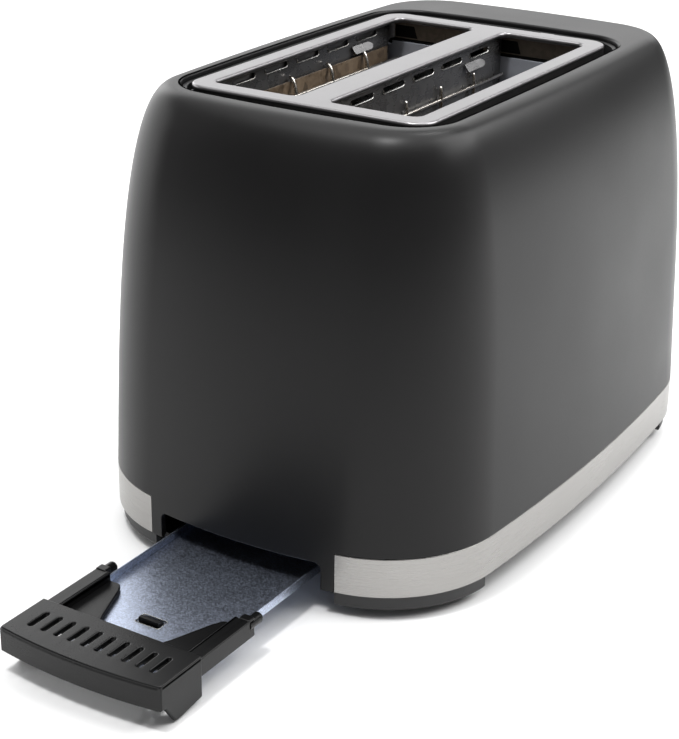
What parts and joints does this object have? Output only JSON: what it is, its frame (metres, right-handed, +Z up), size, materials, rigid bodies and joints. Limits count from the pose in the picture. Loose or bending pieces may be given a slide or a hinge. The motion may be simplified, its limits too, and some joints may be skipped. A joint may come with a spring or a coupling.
{
  "type": "pop up toaster",
  "caption": "Wide-slot pop-up toaster with a rounded matte shell, a brushed base band, a carriage lever, a browning dial, push buttons and a pull-out crumb tray.",
  "frame": {"origin": "middle of the bounding box, at the level of the surface that the feet stand on, with the crumb tray pulled out as at rest", "axes": "+X from the crumb tray end to the control end, +Y to the left seen from the tray end, +Z up"},
  "size_m": [0.3844, 0.1806, 0.185],
  "materials": {
    "shell_black": "matte charcoal black coating",
    "plastic_black": "satin black moulding",
    "handle_black": "fine-grained black moulding",
    "panel_black": "semi-gloss black",
    "button_black": "semi-gloss black",
    "switch_plastic": "matte moulding",
    "trim_satin": "satin nickel",
    "band_steel": "lengthwise brushed stainless steel",
    "bright_steel": "bright zinc-plated",
    "spring_steel": "drawn wire",
    "guard_wire": "bright wire",
    "galvanised_steel": "blue-grey galvanised sheet",
    "chassis_steel": "galvanised sheet",
    "mica": "laminated mica sheet",
    "heating_ribbon": "heat-tinted resistance ribbon",
    "board": "phenolic board",
    "copper_winding": "enamelled copper wire",
    "brass_blade": "rolled brass",
    "ceramic": "glazed steatite",
    "foot_rubber": "matte rubber"
  },
  "bodies": {
    "toaster_body": {"outer_shell": "shell_black", "top_trim_frame": "trim_satin", "recess_insert": "plastic_black", "base_band": "band_steel", "base_plate": "plastic_black", "foot_tray_left": "foot_rubber", "foot_tray_right": "foot_rubber", "foot_control_left": "foot_rubber", "foot_control_right": "foot_rubber", "base_screw_1": "bright_steel", "base_screw_2": "bright_steel", "base_screw_3": "bright_steel", "base_screw_4": "bright_steel", "chassis_plate_tray_end": "chassis_steel", "chassis_plate_control_end": "chassis_steel", "reflector_left": "chassis_steel", "reflector_right": "chassis_steel", "centre_channel": "chassis_steel", "heater_card_left_outer": "mica", "heating_ribbon_left_outer": "heating_ribbon", "heater_card_left_inner": "mica", "heating_ribbon_left_inner": "heating_ribbon", "heater_card_right_inner": "mica", "heating_ribbon_right_inner": "heating_ribbon", "heater_card_right_outer": "mica", "heating_ribbon_right_outer": "heating_ribbon", "guide_rod": "bright_steel", "lift_spring": "spring_steel", "electromagnet_core": "bright_steel", "electromagnet_coil": "copper_winding", "control_panel": "panel_black", "switch_reheat": "switch_plastic", "switch_defrost": "switch_plastic", "switch_cancel": "switch_plastic", "circuit_board": "board", "browning_potentiometer": "switch_plastic", "contact_blade_left": "brass_blade", "contact_blade_right": "brass_blade", "terminal_block": "ceramic", "cord_gland": "foot_rubber"},
    "crumb_tray": {"crumb_tray_pan": "galvanised_steel", "crumb_tray_handle": "handle_black"},
    "carriage": {"carriage_bracket": "chassis_steel", "bread_rack_left": "chassis_steel", "bread_rack_right": "chassis_steel", "armature_plate": "bright_steel", "lever_knob": "handle_black"},
    "browning_dial": {"browning_knob": "handle_black", "browning_shaft": "bright_steel"},
    "reheat_button": {"button_reheat": "button_black"},
    "defrost_button": {"button_defrost": "button_black"},
    "cancel_button": {"button_cancel": "button_black"},
    "left_outer_guard": {"bread_guard_left_outer": "guard_wire"},
    "left_inner_guard": {"bread_guard_left_inner": "guard_wire"},
    "right_inner_guard": {"bread_guard_right_inner": "guard_wire"},
    "right_outer_guard": {"bread_guard_right_outer": "guard_wire"}
  },
  "joints": [
    {"name": "tray_slide", "type": "slide", "parent": "toaster_body", "child": "crumb_tray", "axis": [-1, 0, 0], "range_m": [-0.098, 0.1]},
    {"name": "carriage_slide", "type": "slide", "parent": "toaster_body", "child": "carriage", "axis": [0, 0, -1], "range_m": [0, 0.076], "stiffness_N_per_m": 60, "springref_m": -0.06, "deforming": ["lift_spring"]},
    {"name": "dial_turn", "type": "hinge", "parent": "toaster_body", "child": "browning_dial", "pos_m": [0.17325, 0, 0.0453], "axis": [1, 0, 0], "range_deg": [-135, 135]},
    {"name": "reheat_press", "type": "slide", "parent": "toaster_body", "child": "reheat_button", "axis": [-1, 0, 0], "range_m": [0, 0.0015], "stiffness_N_per_m": 300, "springref_m": -0.002},
    {"name": "defrost_press", "type": "slide", "parent": "toaster_body", "child": "defrost_button", "axis": [-1, 0, 0], "range_m": [0, 0.0015], "stiffness_N_per_m": 300, "springref_m": -0.002},
    {"name": "cancel_press", "type": "slide", "parent": "toaster_body", "child": "cancel_button", "axis": [-1, 0, 0], "range_m": [0, 0.0015], "stiffness_N_per_m": 300, "springref_m": -0.002},
    {"name": "left_outer_guard_hinge", "type": "hinge", "parent": "toaster_body", "child": "left_outer_guard", "pos_m": [0.02875, 0.0472, 0.03], "axis": [1, 0, 0], "range_deg": [0, 4.1]},
    {"name": "left_inner_guard_hinge", "type": "hinge", "parent": "toaster_body", "child": "left_inner_guard", "pos_m": [0.02875, 0.0062, 0.03], "axis": [-1, 0, 0], "range_deg": [0, 4.1]},
    {"name": "right_inner_guard_hinge", "type": "hinge", "parent": "toaster_body", "child": "right_inner_guard", "pos_m": [0.02875, -0.0062, 0.03], "axis": [1, 0, 0], "range_deg": [0, 4.1]},
    {"name": "right_outer_guard_hinge", "type": "hinge", "parent": "toaster_body", "child": "right_outer_guard", "pos_m": [0.02875, -0.0472, 0.03], "axis": [-1, 0, 0], "range_deg": [0, 4.1]}
  ],
  "couplings": [
    {"joint": "left_outer_guard_hinge", "follows": "carriage_slide", "rad_per_m": 0.9186},
    {"joint": "left_inner_guard_hinge", "follows": "carriage_slide", "rad_per_m": 0.9186},
    {"joint": "right_inner_guard_hinge", "follows": "carriage_slide", "rad_per_m": 0.9186},
    {"joint": "right_outer_guard_hinge", "follows": "carriage_slide", "rad_per_m": 0.9186}
  ]
}
